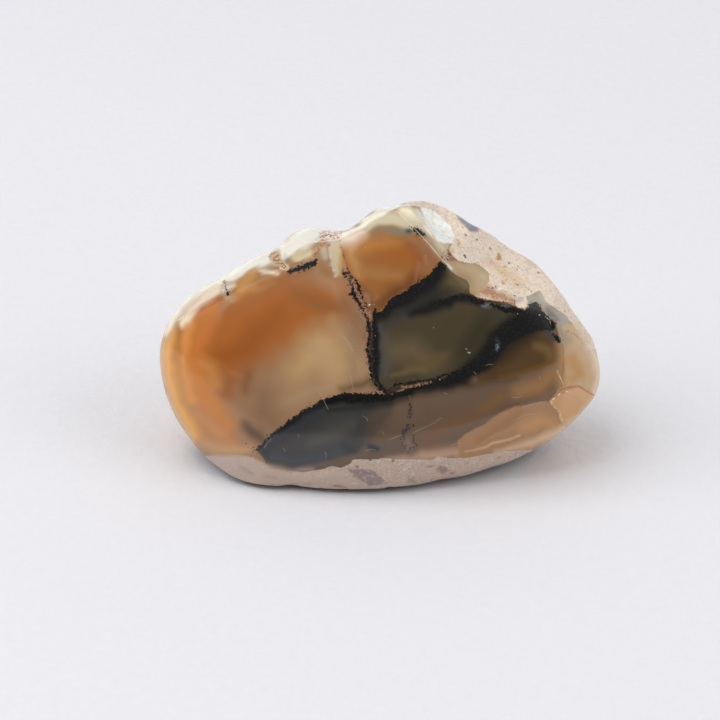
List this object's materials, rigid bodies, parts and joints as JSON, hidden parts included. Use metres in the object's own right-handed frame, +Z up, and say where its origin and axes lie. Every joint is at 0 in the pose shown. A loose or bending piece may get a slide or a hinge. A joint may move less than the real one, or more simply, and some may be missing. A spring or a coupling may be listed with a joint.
{
  "type": "polished dendritic opal freeform",
  "caption": "Polished freeform stone of banded tan opal with black dendrites in sandy matrix, standing on a small flat.",
  "frame": {"origin": "middle of the bounding box on the surface that the stone stands on", "axes": "+Z up, +X along the stone's length, the polished face towards -Y and leaning back 30 degrees"},
  "size_m": [0.0614, 0.0312, 0.0357],
  "materials": {
    "opal": "polished opal and matrix, glossy, with black dendrites and sandy veins"
  },
  "bodies": {
    "root": {"dendritic_opal": "opal"}
  },
  "joints": []
}
